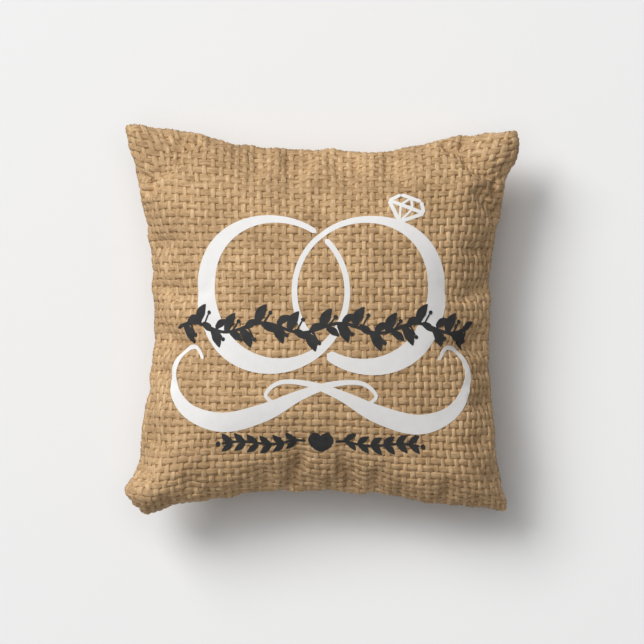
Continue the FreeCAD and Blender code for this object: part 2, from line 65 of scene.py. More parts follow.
TIP_PULL = 2.4  # how far the corner tips are pulled in, which makes them blunt
TIP_FROM, TIP_TO = 91, 100
SETTLED = 1.0  # what lies lower than this is pressed flat by the pillow's weight
FLATTEN = 0.06


def fullness(u, v):
    """Height of the crown, 1 in the middle and 0 at the seam."""
    across = np.maximum(1 - u * u, 1e-6)
    along = np.maximum(1 - v * v, 1e-6)
    return np.sqrt(2 / (1 / across**2 + 1 / along**2))


def crowned(u, v, side, edge=CLOTH_EDGE, half=SEAM_HALF, crown=CROWN):
    """The CAD model's own panel, for u and v from -1 to 1."""
    x = u * (half + CORNER_REACH * v * v)
    y = v * (half + CORNER_REACH * u * u)
    z = SEAM_Z + side * (edge + crown * fullness(u, v))
    return np.stack(np.broadcast_arrays(x, y, z), -1)


def even_mark():
    """Where cloth marks at even spacing lie across the middle of a panel."""
    u = np.linspace(-1, 1, 801)
    line = crowned(u, np.zeros_like(u), 1)
    steps = np.linalg.norm(np.diff(line, axis=0), axis=1)
    length = np.concatenate([[0], np.cumsum(steps)])
    return 2 * length / length[-1] - 1, u


MARKS = even_mark()


def place(s, t):
    """The u and v of a cloth point. Threads are evenly spaced over the crown."""
    u = s + (np.interp(s, *MARKS) - s) * (1 - t * t)
    v = t + (np.interp(t, *MARKS) - t) * (1 - s * s)
    return u, v


def smooth(value, low, high):
    """0 below low, 1 above high and an S curve between."""
    x = np.clip((value - low) / (high - low), 0, 1)
    return x * x * (3 - 2 * x)


def bell(x, y, spot):
    """1 at a spot, given as x, y and radius, and fading away from it."""
    at_x, at_y, radius = spot
    return np.exp(-((x - at_x) ** 2 + (y - at_y) ** 2) / (2 * radius**2))


def waves(x, count, seed):
    """Smooth noise along a line, about -1 to 1."""
    draw = np.random.default_rng(seed)
    total = np.zeros_like(x, dtype=float)
    for i in range(count):
        rate = 1.37**i * draw.uniform(0.85, 1.15)
        total += draw.uniform(0.6, 1.0) * np.sin(rate * x + draw.uniform(0, 2 * math.pi))
    return total / math.sqrt(count)


# How the filled corners and the edges sit. Each row is a spot's x and y, how far the cloth is
# pushed there along x and along y, and the radius of the push.
PUSHES = [
    (100, -100, -2.6, 1.2, 13),
    (94, -70, -3.2, 0.0, 20),
    (91, -48, -1.2, 0.0, 20),
    (-100, -100, 3.2, 2.8, 9),
    (-98, -86, -4.2, 0.5, 7),
    (-86, -98, 1.0, -2.6, 8),
    (-92, -72, 2.0, 0.0, 12),
    (100, 100, 1.5, -2.5, 12),
    (97, 83, 3.2, 0.0, 6),
    (93, 71, -1.4, 0.0, 5),
    (78, 94, 0.0, -1.8, 18),
    (50, 90, 0.0, -1.4, 20),
    (-92, 70, 2.0, 0.0, 16),
    (30, 87, 0.0, -1.4, 16),
    (-86, 0, 1.0, 0.0, 30),
    (25, -88, 0.0, -2.8, 50),
    (-98, 90, -1.6, 0.0, 8),
]


def zip_calm(x, y, side):
    """0 where the back panel has to follow the zip exactly, 1 elsewhere."""
    if side > 0:
        return np.ones_like(x)
    inside = (1 - smooth(np.abs(x), 66, 80)) * (1 - smooth(y, -72, -58))
    from_seam = y + SEAM_HALF + CORNER_REACH * (x / (SEAM_HALF + CORNER_REACH)) ** 2
    return 1 - inside * smooth(from_seam, 0.3, 3.0)


def shaped(s, t, side):
    """The crowned panel with its sewn edge and its filled corners."""
    u, v = place(s, t)
    rim = np.minimum(1 - np.abs(s), 1 - np.abs(t)) * FLAT_HALF
    points = crowned(u, v, side, CLOTH_EDGE * smooth(rim, 0, 5))
    x, y = points[..., 0].copy(), points[..., 1].copy()
    calm = zip_calm(x, y, side)
    corner = bell(np.abs(x), np.abs(y), CORNER_SPOT)
    corner *= np.where(y < 0, 1.0, FAR_CORNER_FILL)
    puff = np.sqrt(np.maximum((1 - u * u) * (1 - v * v), 0))
    points[..., 2] += side * CORNER_FILL * puff * corner * calm
    if side > 0:
        points[..., 2] = SEAM_Z + (points[..., 2] - SEAM_Z) * FRONT_FULLNESS
    return points


def pushed(points, side):
    """The filled corners and the bent edges, pushed into place."""
    x, y = points[..., 0].copy(), points[..., 1].copy()
    calm = zip_calm(x, y, side)
    points[..., 2] -= DROOP * calm * bell(x, y, DROOP_SPOT)
    tip = smooth(np.minimum(np.abs(x), np.abs(y)), TIP_FROM, TIP_TO)
    points[..., 0] -= TIP_PULL * np.sign(x) * tip
    points[..., 1] -= TIP_PULL * np.sign(y) * tip
    for at_x, at_y, dx, dy, radius in PUSHES:
        near = bell(x, y, (at_x, at_y, radius))
        points[..., 0] += dx * near * calm
        points[..., 1] += dy * near * calm
    return points


PUCKER = 0.7  # height of the puckers that run in from the seam
PUCKER_WIDTH = 7.0
PUCKER_REACH = 13.0
WANDER = 0.55  # how far the seam strays from its line
WANDER_WIDTH = 6.5
WANDER_REACH = 6.0


def ruffle(points, s, t, side):
    """Small puckers that run in from the seam, and the seam's own unevenness."""
    calm = zip_calm(points[..., 0], points[..., 1], side)
    for axis, (along, across) in enumerate(((t, s), (s, t))):
        for sign in (-1, 1):
            depth = (1 - sign * across) * FLAT_HALF
            line = along * FLAT_HALF
            seed = 11 + 4 * axis + sign
            pucker = waves(line / PUCKER_WIDTH, 4, seed + 30 + 20 * side)
            pucker *= np.exp(-depth / PUCKER_REACH)
            pucker *= smooth(depth, 0, 6)
            points[..., 2] += side * PUCKER * pucker * calm
            wander = waves(line / WANDER_WIDTH, 5, seed) * np.exp(-depth / WANDER_REACH)
            points[..., axis] += sign * WANDER * wander * calm
    return points


WRINKLE = 7.0  # about the widest wrinkle that is kept, in grid steps
LONGEST_SHIFT = 5.0
TAUT = 0.75  # the share of the wrinkles that the taut middle loses
TAUT_FROM, TAUT_TO = 16, 38  # how far in from the seam that sets in
SIM_SCALE = 0.01  # millimetres to the solver's metres: its cloth is ten times life size
SIM_BACK = 100  # and back to millimetres
SIM_FRAMES = 26


def blurred(field, width):
    """The field smoothed along both grid directions, by width in grid steps."""
    reach = int(3 * width)
    kernel = np.exp(-np.arange(-reach, reach + 1) ** 2 / (2 * width**2))
    kernel /= kernel.sum()
    for axis in (0, 1):
        wide = np.moveaxis(field, axis, 0)
        first, last = wide[:1], wide[-1:]
        # mirrored through its end values, so that a slope runs on past the edge
        before = 2 * first - wide[1 : reach + 1][::-1]
        after = 2 * last - wide[-reach - 1 : -1][::-1]
        wide = np.concatenate([before, wide, after])
        count = field.shape[axis]
        total = sum(k * wide[i : i + count] for i, k in enumerate(kernel))
        field = np.moveaxis(total, 0, axis)
    return field


def on_seam(i, j):
    """Whether a grid point lies on the panel's edge."""
    return i in (0, GRID) or j in (0, GRID)


def seam_key(i, j, side):
    """The name of a grid point. The two panels share the points on their seam."""
    return (i, j, 0 if on_seam(i, j) else side)


def sewn_cover(panels):
    """Both panels as one closed mesh object, with the number of each grid point."""
    index, verts, faces = {}, [], []

    def vertex(i, j, side):
        key = seam_key(i, j, side)
        if key not in index:
            index[key] = len(verts)
            verts.append(panels[side][i, j] * SIM_SCALE)
        return index[key]

    for side in (1, -1):
        for i in range(GRID):
            for j in range(GRID):
                corners = ((i, j), (i + 1, j), (i + 1, j + 1), (i, j + 1))
                quad = [vertex(*corner, side) for corner in corners]
                faces.append(quad if side > 0 else quad[::-1])
    mesh = bpy.data.meshes.new("sim")
    mesh.from_pydata([tuple(v) for v in verts], [], faces)
    cover = bpy.data.objects.new("sim", mesh)
    bpy.context.scene.collection.objects.link(cover)
    seam_group = cover.vertex_groups.new(name="seam")
    for (i, j, _), k in index.items():
        rim = min(i, j, GRID - i, GRID - j)
        seam_group.add([k], max(0.0, 1 - rim / 3), "REPLACE")
    return cover, index


def add_cloth(cover):
    """Coarse cloth with a little pressure inside and a seam that is slightly short."""
    cloth = cover.modifiers.new("Cloth", "CLOTH")
    settings = cloth.settings
    settings.quality = 7
    settings.mass = 0.3
    settings.tension_stiffness = settings.compression_stiffness = 60
    settings.shear_stiffness = 12
    settings.bending_stiffness = 1.5
    settings.air_damping = 3
    settings.use_pressure = True
    settings.uniform_pressure_force = 1.6
    settings.vertex_group_shrink = "seam"
    settings.shrink_min = 0.0
    settings.shrink_max = 0.07
    settings.effector_weights.gravity = 0
    cloth.collision_settings.use_collision = False
    cloth.point_cache.frame_start = 1
    cloth.point_cache.frame_end = SIM_FRAMES


def simulate(panels):
    """Blow the sewn cover up a little as cloth, and keep the wrinkles that it gets."""
    cover, index = sewn_cover(panels)
    add_cloth(cover)
    for number in range(1, SIM_FRAMES + 1):
        bpy.context.scene.frame_set(number)
    graph = bpy.context.evaluated_depsgraph_get()
    settled = cover.evaluated_get(graph).to_mesh()
    flat = np.empty(len(index) * 3)
    settled.vertices.foreach_get("co", flat)
    moved = flat.reshape(-1, 3) * SIM_BACK
    bpy.data.objects.remove(cover)
    bpy.context.scene.frame_set(1)
    result = {}
    for side in (1, -1):
        order = [[index[seam_key(i, j, side)] for j in range(GRID + 1)] for i in range(GRID + 1)]
        shift = moved[np.array(order)] - panels[side]
        # the outline keeps its size: only the wrinkles and dents are taken over
        shift -= blurred(shift, WRINKLE)
        length = np.linalg.norm(shift, axis=2, keepdims=True)
        shift *= np.minimum(1, LONGEST_SHIFT / np.maximum(length, 1e-9))
        calm = zip_calm(panels[side][..., 0], panels[side][..., 1], side)
        # and they fade out towards the taut middle
        rim = np.minimum(1 - np.abs(grid_s), 1 - np.abs(grid_t)) * FLAT_HALF
        calm = calm * (1 - TAUT * smooth(rim, TAUT_FROM, TAUT_TO))
        result[side] = panels[side] + shift * calm[..., None]
    return result


mark = np.linspace(-1, 1, GRID + 1)
grid_s, grid_t = np.meshgrid(mark, mark, indexing="ij")
panels = {side: shaped(grid_s, grid_t, side) for side in (1, -1)}
panels = simulate(panels)
for side in (1, -1):
    panels[side] = ruffle(pushed(panels[side], side), grid_s, grid_t, side)
    height = panels[side][..., 2]
    panels[side][..., 2] = np.where(height < SETTLED, SETTLED + (height - SETTLED) * FLATTEN, height)
# the two panels share their sewn edge
edge = (np.abs(grid_s) == 1) | (np.abs(grid_t) == 1)
shared = (panels[1] + panels[-1]) / 2
for side in (1, -1):
    panels[side][edge] = shared[edge]


def cubic_weights(f):
    """Weights of four evenly spaced values for a smooth curve between the middle two."""
    return [
        -0.5 * f**3 + f**2 - 0.5 * f,
        1.5 * f**3 - 2.5 * f**2 + 1,
        -1.5 * f**3 + 2 * f**2 + 0.5 * f,
        0.5 * f**3 - 0.5 * f**2,
    ]


padded_panels = {}
for side in (1, -1):
    g = panels[side]
    g = np.concatenate([2 * g[:1] - g[1:2], g, 2 * g[-1:] - g[-2:-1]], 0)
    g = np.concatenate([2 * g[:, :1] - g[:, 1:2], g, 2 * g[:, -1:] - g[:, -2:-1]], 1)
    padded_panels[side] = g


def on_cloth(s, t, side):
    """The surface point at cloth coordinates, smoothly between the grid's points."""
    g = padded_panels[side]
    fs = np.clip((np.asarray(s) + 1) / 2 * GRID, 0, GRID)
    ft = np.clip((np.asarray(t) + 1) / 2 * GRID, 0, GRID)
    i = np.minimum(fs.astype(int), GRID - 1)
    j = np.minimum(ft.astype(int), GRID - 1)
    ws, wt = cubic_weights(fs - i), cubic_weights(ft - j)
    total = 0
    for a in range(4):
        for b in range(4):
            total = total + (ws[a] * wt[b])[..., None] * g[i + a, j + b]
    return total


def facing(s, t, side):
    """The outward normal at cloth coordinates."""
    step = 0.004
    s0, s1 = np.clip(s - step, -1, 1), np.clip(s + step, -1, 1)
    t0, t1 = np.clip(t - step, -1, 1), np.clip(t + step, -1, 1)
    along = on_cloth(s1, t, side) - on_cloth(s0, t, side)
    up = on_cloth(s, t1, side) - on_cloth(s, t0, side)
    normal = np.cross(along, up) * side
    return normal / np.maximum(np.linalg.norm(normal, axis=-1, keepdims=True), 1e-12)


def raised(s, t, side, height):
    """The point at a height above the cloth."""
    return on_cloth(s, t, side) + facing(s, t, side) * np.asarray(height)[..., None]


# ------------------------------------------------------------------ mesh helpers


def make_mesh(name, points, faces, material, smooth_shading=True, layers=None):
    """A mesh object from points in millimetres. layers holds one number for each point."""
    mesh = bpy.data.meshes.new(name)
    points = np.asarray(points, float).reshape(-1, 3)
    faces = np.asarray(faces, int)
    mesh.vertices.add(len(points))
    mesh.vertices.foreach_set("co", (points * MM).ravel())
    size = faces.shape[1]
    mesh.loops.add(faces.size)
    mesh.loops.foreach_set("vertex_index", faces.ravel())
    mesh.polygons.add(len(faces))
    mesh.polygons.foreach_set("loop_start", np.arange(0, faces.size, size))
    mesh.polygons.foreach_set("use_smooth", np.full(len(faces), smooth_shading))
    mesh.update(calc_edges=True)
    mesh.validate()
    for key, values in (layers or {}).items():
        layer = mesh.attributes.new(key, "FLOAT", "POINT")
        layer.data.foreach_set("value", np.asarray(values, float).ravel())
    mesh.materials.append(material)
    thing = bpy.data.objects.new(name, mesh)
    bpy.context.scene.collection.objects.link(thing)
    return thing


def strip_faces(rows, columns, closed=False, start=0):
    """Quads of a rows by columns sheet of points. closed joins the last column to the first."""
    i, j = np.meshgrid(
        np.arange(rows - 1), np.arange(columns if closed else columns - 1), indexing="ij"
    )
    k = (j + 1) % columns
    quads = np.stack([i * columns + j, (i + 1) * columns + j, (i + 1) * columns + k, i * columns + k], -1)
    return quads.reshape(-1, 4) + start


# ------------------------------------------------------------------ materials


def new_material(name, roughness):
    """A material, its node tree and its shader."""
    material = bpy.data.materials.new(name)
    material.use_nodes = True
    shader = material.node_tree.nodes["Principled BSDF"]
    shader.inputs["Roughness"].default_value = roughness
    return material, material.node_tree, shader


def noise(tree, scale, stretch=(1, 1, 1), detail=3.0):
    """Noise in the object's own space, drawn out along an axis where stretch is small."""
    coords = tree.nodes.new("ShaderNodeTexCoord")
    mapping = tree.nodes.new("ShaderNodeMapping")
    mapping.inputs["Scale"].default_value = stretch
    texture = tree.nodes.new("ShaderNodeTexNoise")
    texture.inputs["Scale"].default_value = scale
    texture.inputs["Detail"].default_value = detail
    tree.links.new(coords.outputs["Object"], mapping.inputs["Vector"])
    tree.links.new(mapping.outputs["Vector"], texture.inputs["Vector"])
    return texture.outputs["Fac"]


def ramp(tree, source, stops):
    """A colour ramp from rows of position and colour."""
    made = tree.nodes.new("ShaderNodeValToRGB")
    tree.links.new(source, made.inputs["Fac"])
    elements = made.color_ramp.elements
    while len(elements) < len(stops):
        elements.new(0.5)
    for element, (position, colour) in zip(elements, stops):
        element.position = position
        element.color = (*colour, 1)
    return made.outputs["Color"]


def multiplied(tree, first, second):
    """The product of two colours."""
    made = tree.nodes.new("ShaderNodeMix")
    made.data_type = "RGBA"
    made.blend_type = "MULTIPLY"
    sockets = {socket.name: socket for socket in made.inputs if socket.enabled}
    sockets["Factor"].default_value = 1.0
    tree.links.new(first, sockets["A"])
    tree.links.new(second, sockets["B"])
    return [o for o in made.outputs if o.enabled][0]


def bump(tree, shader, height, strength, distance):
    """Fine relief on the shader's surface."""
    made = tree.nodes.new("ShaderNodeBump")
    made.inputs["Strength"].default_value = strength
    made.inputs["Distance"].default_value = distance
    tree.links.new(height, made.inputs["Height"])
    tree.links.new(made.outputs["Normal"], shader.inputs["Normal"])


def jute(name, stretch, dark, mid, light):
    """Jute yarn: drawn-out fibre streaks, uneven colour, and painted shade that darkens it where it dips.
    """
    material, tree, shader = new_material(name, 0.72)
    streak = noise(tree, 900, stretch, 4)
    colour = ramp(tree, streak, [(0.3, dark), (0.52, mid), (0.75, light)])
    blotch = noise(tree, 55, (1, 1, 1), 2)
    patch = ramp(tree, blotch, [(0.3, (0.84, 0.82, 0.8)), (0.7, (1.1, 1.1, 1.1))])
    colour = multiplied(tree, colour, patch)
    # painted shade: the colour is multiplied darker where the yarn lies low in the weave
    depth = tree.nodes.new("ShaderNodeAttribute")
    depth.attribute_name = "depth"
    shade = ramp(
        tree,
        depth.outputs["Fac"],
        [(0.0, (0.95, 0.86, 0.74)), (0.5, (1.0, 0.97, 0.93)), (0.9, (1.0, 1.0, 1.0))],
    )
    colour = multiplied(tree, colour, shade)
    tree.links.new(colour, shader.inputs["Base Color"])
    shader.inputs["Specular IOR Level"].default_value = 0.12
    bump(tree, shader, streak, 0.55, 0.0003)
    return material


weft_jute = jute(
    "jute_weft", (0.12, 1, 1), (0.32, 0.2, 0.1), (0.46, 0.305, 0.165), (0.6, 0.425, 0.25)
)
warp_jute = jute(
    "jute_warp", (1, 0.12, 1), (0.38, 0.245, 0.125), (0.53, 0.365, 0.205), (0.68, 0.49, 0.3)
)


def plain_cloth(name, base, tint, scale=1500, strength=0.4):
    """Even cloth or thread with a fine grain."""
    material, tree, shader = new_material(name, 0.9)
    grain = noise(tree, scale, (1, 1, 1), 3)
    colour = ramp(tree, grain, [(0.3, tint), (0.7, base)])
    tree.links.new(colour, shader.inputs["Base Color"])
    bump(tree, shader, grain, strength, 0.0002)
    return material


lining_cloth = plain_cloth("lining_cloth", (0.62, 0.41, 0.2), (0.5, 0.32, 0.15))
case_cloth = plain_cloth("case_cloth", (0.86, 0.85, 0.82), (0.74, 0.73, 0.7))
fibre = plain_cloth("fibre", (0.92, 0.92, 0.92), (0.8, 0.8, 0.8), scale=300, strength=0.9)
thread_cotton = plain_cloth("thread_cotton", (0.5, 0.36, 0.22), (0.34, 0.24, 0.14), scale=3000)
case_thread = plain_cloth("case_thread", (0.85, 0.85, 0.83), (0.7, 0.7, 0.68), scale=3000)


def ink(name, base, tint):
    """Thick smooth print: nearly even colour, a faint mottle and a fine grain."""
    material, tree, shader = new_material(name, 0.75)
    mottle = noise(tree, 240, (1, 1, 1), 4)
    tree.links.new(ramp(tree, mottle, [(0.35, tint), (0.65, base)]), shader.inputs["Base Color"])
    shader.inputs["Specular IOR Level"].default_value = 0.12
    bump(tree, shader, noise(tree, 600, (1, 1, 1), 3), 0.12, 0.0002)
    return material


white_print = ink("white_print", (0.735, 0.725, 0.71), (0.71, 0.7, 0.685))
dark_print = ink("dark_print", (0.04, 0.04, 0.041), (0.032, 0.032, 0.033))


def twill_tape(name, base, tint):
    """Zip tape with fine slanting ribs."""
    material, tree, shader = new_material(name, 0.85)
    coords = tree.nodes.new("ShaderNodeTexCoord")
    wave = tree.nodes.new("ShaderNodeTexWave")
    wave.inputs["Scale"].default_value = 420.0
    wave.inputs["Distortion"].default_value = 0.6
    wave.bands_direction = "DIAGONAL"
    tree.links.new(coords.outputs["Object"], wave.inputs["Vector"])
    colour = ramp(tree, wave.outputs["Fac"], [(0.1, tint), (0.8, base)])
    tree.links.new(colour, shader.inputs["Base Color"])
    bump(tree, shader, wave.outputs["Fac"], 0.6, 0.00025)
    return material


def moulded(name, base, tint, roughness, metallic=0.0, scratch=0.1):
    """Moulded plastic or cast metal with rubbed patches and fine scratches."""
    material, tree, shader = new_material(name, roughness)
    patch = noise(tree, 420, (1, 1, 1), 4)
    tree.links.new(ramp(tree, patch, [(0.35, tint), (0.65, base)]), shader.inputs["Base Color"])
    rubbed = noise(tree, 900, (1, 0.1, 1), 3)
    stops = [(0.3, (roughness - 0.12,) * 3), (0.7, (roughness + 0.12,) * 3)]
    rough = ramp(tree, rubbed, stops)
    tree.links.new(rough, shader.inputs["Roughness"])
    shader.inputs["Metallic"].default_value = metallic
    bump(tree, shader, noise(tree, 1600, (1, 0.15, 1), 2), scratch, 0.0001)
    return material


zip_tape = twill_tape("zip_tape", (0.56, 0.42, 0.27), (0.38, 0.27, 0.16))
zip_plastic = moulded("zip_plastic", (0.5, 0.37, 0.23), (0.42, 0.3, 0.18), 0.42)
old_brass = moulded("old_brass", (0.62, 0.46, 0.22), (0.42, 0.3, 0.14), 0.34, 1.0, 0.25)

# ------------------------------------------------------------------ printed ornaments

# A stroke is a line on the flat cloth with a width at each point: rows of x, y and width.


def stroke(points, step=0.8):
    """A smooth line through a few points, with the ends rounded off."""
    points = np.asarray(points, float)
    ends = np.concatenate([2 * points[:1] - points[1:2], points, 2 * points[-1:] - points[-2:-1]])
    rows = []
    for k in range(len(points) - 1):
        span = np.linalg.norm(points[k + 1, :2] - points[k, :2])
        f = np.linspace(0, 1, max(3, int(span / step)), endpoint=False)[:, None]
        weights = cubic_weights(f)
        rows.append(sum(w * ends[k + m] for m, w in enumerate(weights)))
    line = np.concatenate(rows + [points[-1:]])
    return round_ends(line)


def round_ends(line):
    """The line with a width that runs out in a half circle at both ends."""
    run = np.concatenate([[0], np.cumsum(np.linalg.norm(np.diff(line[:, :2], axis=0), axis=1))])
    for distance, half in ((run, line[0, 2] / 2), (run[-1] - run, line[-1, 2] / 2)):
        inside = distance < half
        cap = np.sqrt(np.maximum(1 - (1 - distance[inside] / half) ** 2, 0.004))
        line[inside, 2] *= cap
    return line


RING_X, RING_Y, RING_R = 23.0, 13.0, 36.0  # the rings lie RING_X to each side of the middle
RING_THIN, RING_THICK = 2.7, 11.0


def ring_stroke(x, heavy, gap_at, gap):
    """A ring that swells towards the heavy angle and stops short where the other passes over."""
    turn = np.radians(np.linspace(gap_at + gap, gap_at + 360 - gap, 150))
    swell = (0.5 + 0.5 * np.cos(turn - math.radians(heavy))) ** 1.6
    width = RING_THIN + (RING_THICK - RING_THIN) * swell
    line = np.stack([x + RING_R * np.cos(turn), RING_Y + RING_R * np.sin(turn), width], 1)
    return round_ends(line)


def turned(points, x, y, angle):
    """The points turned about their origin and moved to a spot."""
    c, s = math.cos(math.radians(angle)), math.sin(math.radians(angle))
    return [(x + c * px - s * py, y + s * px + c * py, *rest) for px, py, *rest in points]


LEAF = [(0, 0.5), (0.3, 0.86), (0.55, 1.0), (0.82, 0.55), (1, 0.08)]  # width along a leaf
LEAF_BEND = 0.07


def leaf(x, y, angle, length, width):
    """A slightly bent leaf that starts at a spot."""
    bend = LEAF_BEND * length
    line = [(a * length, bend * math.sin(math.pi * a), w * width) for a, w in LEAF]
    return stroke(turned(line, x, y, angle), 0.5)


def dot(x, y, size):
    """A round berry."""
    return stroke([(x - size / 2, y, size), (x, y, size), (x + size / 2, y, size)], size / 10)


def rings():
    """Two rings that pass over each other."""
    crossing = math.degrees(math.acos(RING_X / RING_R))
    return [
        ring_stroke(-RING_X, 205, crossing, 4.2),
        ring_stroke(RING_X, -28, 180 + crossing, 6.0),
    ]


STONE_LEAN = 66  # where on the right ring the cut stone sits
STONE_OFF = 1.4
STONE_OUTLINE, STONE_FACET = 1.9, 1.2


def stone():
    """The outline and the facets of a cut stone that sits on the right ring."""
    top, girdle, point = (5.6, 14.5), (9.6, 9.2), (0, 0.4)
    far_top, far_girdle = (-top[0], top[1]), (-girdle[0], girdle[1])
    facet = 3.2
    outline = [
        (far_top, top),
        (top, girdle),
        (far_top, far_girdle),
        (far_girdle, girdle),
        (girdle, point),
        (far_girdle, point),
    ]
    facets = [
        ((-facet, girdle[1]), point),
        ((facet, girdle[1]), point),
        ((-facet, girdle[1]), (0, top[1])),
        ((facet, girdle[1]), (0, top[1])),
    ]
    reach = RING_R + STONE_OFF
    x = RING_X + reach * math.cos(math.radians(STONE_LEAN))
    y = RING_Y + reach * math.sin(math.radians(STONE_LEAN))
    found = []
    for edges, width in ((outline, STONE_OUTLINE), (facets, STONE_FACET)):
        for a, b in edges:
            found.append(stroke(turned([(*a, width), (*b, width)], x, y, STONE_LEAN - 90)))
    return found


# one scroll, from its curled tip outside the left ring to its end under the right ring
SCROLL = [
    (-60, -20, 1.5),
    (-66, -14, 2.0),
    (-74, -17, 2.6),
    (-77, -30, 4.0),
    (-67, -45, 7.0),
    (-48, -51, 10.0),
    (-28, -46, 9.0),
    (-10, -37, 5.0),
    (6, -31.5, 2.8),
    (20, -31, 2.1),
    (27, -37, 1.8),
    (22, -42, 1.5),
]


def scrolls():
    """The scroll and its mirror image, which cross in the middle."""
    return [stroke(SCROLL), stroke([(-x, y, w) for x, y, w in SCROLL])]


VINE_Y, VINE_WAVE = -4.5, 2.3
VINE_LEAF, VINE_SMALL_LEAF = (10.5, 4.9), (7.6, 3.7)  # length and width
VINE_PITCH = 8.05


def vine_height(x):
    """Where the wavy stem is at x."""
    return VINE_Y + VINE_WAVE * math.sin(x / 6.1)


def vine():
    """A wavy stem with pairs of leaves and stalked berries, turned up and down by turns."""
    found = [stroke([(x, vine_height(x), 1.5) for x in np.linspace(-77, 76, 52)])]
    for k, x in enumerate(np.arange(-72, 76, VINE_PITCH)):
        up = 1 if k % 2 else -1
        y = vine_height(x)
        found.append(leaf(x, y, 62 * up, *VINE_LEAF))
        found.append(leaf(x + 2.2, y, -34 * up, *VINE_SMALL_LEAF))
        stalk = [(x + 3.4, vine_height(x + 3.4), 0.8), (x + 6.4, y + 4.6 * up, 0.8)]
        found.append(stroke(stalk, 0.5))
        found.append(dot(x + 6.8, y + 5.2 * up, 2.0))
    return found


GARLAND_Y, GARLAND_WAVE = -62, 0.8
GARLAND_LEAF = (7.0, 3.2)  # length and width
GARLAND_PITCH = 6.3


def garland_height(x):
    """Where the twigs are at x."""
    return GARLAND_Y + GARLAND_WAVE * math.sin(x / 5)


# a heart of thick strokes: one side from its point to the dip, its middle, and a bar across
HEART_SIDE = [(0, -67, 0.8), (2.4, -64, 3.4), (4.1, -60.6, 4.0), (2.6, -58.2, 3.8), (0, -60.5, 3.2)]
HEART_MIDDLE = [(0, -66.4, 1.2), (0, -64, 3.4), (0, -61.6, 4.4)]
HEART_BAR = [(-3.4, -61.4, 3.6), (0, -61.9, 3.6), (3.4, -61.4, 3.6)]


def garland():
    """Two leafy twigs that point away from a heart."""
    found = []
    for way in (-1, 1):
        found.append(stroke([(way * x, garland_height(x), 1.3) for x in range(7, 52, 3)]))
        for x in np.arange(12, 46, GARLAND_PITCH):
            for up in (-1, 1):
                angle = 42 * up if way > 0 else 180 - 42 * up
                found.append(leaf(way * x, garland_height(x), angle, *GARLAND_LEAF))
        found.append(dot(way * 50.5, garland_height(50), 2.6))
        found.append(stroke([(way * x, y, w) for x, y, w in HEART_SIDE], 0.4))
    found.append(stroke(HEART_MIDDLE, 0.4))
    found.append(stroke(HEART_BAR, 0.4))
    return found


prints = {"white": rings() + stone() + scrolls(), "vine": vine(), "garland": garland()}

REACH_STEP = 0.3
REACH_EDGE = 2  # how far off a print its distance is worked out
FAR_OFF = 9.0  # the distance that stands for everything further off
reach_size = int(2 * FLAT_HALF / REACH_STEP) + 1


def reach_map(lines):
    """A grid of the flat cloth with each spot's distance from the nearest print."""
    grid = np.full((reach_size, reach_size), FAR_OFF)
    for line in lines:
        for x, y, w in line:
            i0 = int((x + FLAT_HALF - w / 2 - REACH_EDGE) / REACH_STEP)
            i1 = int((x + FLAT_HALF + w / 2 + REACH_EDGE) / REACH_STEP) + 1
            j0 = int((y + FLAT_HALF - w / 2 - REACH_EDGE) / REACH_STEP)
            j1 = int((y + FLAT_HALF + w / 2 + REACH_EDGE) / REACH_STEP) + 1
            gx = np.arange(i0, i1)[:, None] * REACH_STEP - FLAT_HALF
            gy = np.arange(j0, j1)[None, :] * REACH_STEP - FLAT_HALF
            part = grid[i0:i1, j0:j1]
            np.minimum(part, np.hypot(gx - x, gy - y) - w / 2, out=part)
    return grid


print_reach = reach_map(sum(prints.values(), []))


def off_print(s, t):
    """Distance from the print's edge on the flat cloth, less than 0 inside it."""
    i = np.clip(((s + 1) * FLAT_HALF / REACH_STEP).round().astype(int), 0, reach_size - 1)
    j = np.clip(((t + 1) * FLAT_HALF / REACH_STEP).round().astype(int), 0, reach_size - 1)
    return print_reach[i, j]


FILM_SKIRT = -0.3  # how deep a film's edge goes into the weave


def film(name, strokes, height, step, material):
    """Flat ribbons along the strokes, each a step higher than the last, with skirts."""
    across = np.array([-1, -1, *np.linspace(-1, 1, 9), 1, 1])
    drop = np.array([1] + [0] * 11 + [1])
    crisp = (1, 10)  # the skirt and the top meet at a sharp edge, so they share no points there
    points, faces, start = [], [], 0
    for number, line in enumerate(strokes):
        ahead = np.gradient(line[:, :2], axis=0)
        ahead /= np.maximum(np.linalg.norm(ahead, axis=1, keepdims=True), 1e-9)
        left = np.stack([-ahead[:, 1], ahead[:, 0]], 1)
        spots = line[:, None, :2] + left[:, None] * (across[None, :, None] * line[:, None, 2:] / 2)
        level = height + step * number + 0 * spots[..., 0]
        level = level * (1 - drop) + FILM_SKIRT * drop
        s, t = spots[..., 0] / FLAT_HALF, spots[..., 1] / FLAT_HALF
        points.append(raised(s, t, 1, level).reshape(-1, 3))
        quads = strip_faces(len(line), len(across), start=start)
        column = (quads[:, 0] - start) % len(across)
        faces.append(quads[~np.isin(column, crisp)])
        start += len(line) * len(across)
    return make_mesh(name, np.concatenate(points), np.concatenate(faces)[:, ::-1], material)


# ------------------------------------------------------------------ woven yarns

WEFTS = 52  # yarns that run across a panel
WARPS = 50  # yarns that run up it
SINK = -0.52  # height of a yarn's middle line where it neither rises nor dips
RISE = 0.3
THICK = 0.66
WEFT_WIDTH, WARP_WIDTH = 0.86, 0.66  # as shares of the pitch
UNEVEN = 0.05  # how far the yarns are off their even spacing, as a share of the pitch
STRAY = 0.07  # and how far each of them strays along its run
SLUB, YARN_SPREAD = 0.11, 0.07  # how much the thickness varies along a yarn, and between yarns
TOP_SWELL = 0.12  # how much wider a yarn is where it lies on top
SECTION = np.radians(np.linspace(-112, 112, 7))  # the part of a yarn's section that is drawn
FLAT_UNDER_PRINT = 0.12
EDGE_SHARE = 0.25  # how much of its height the weave keeps at the seam

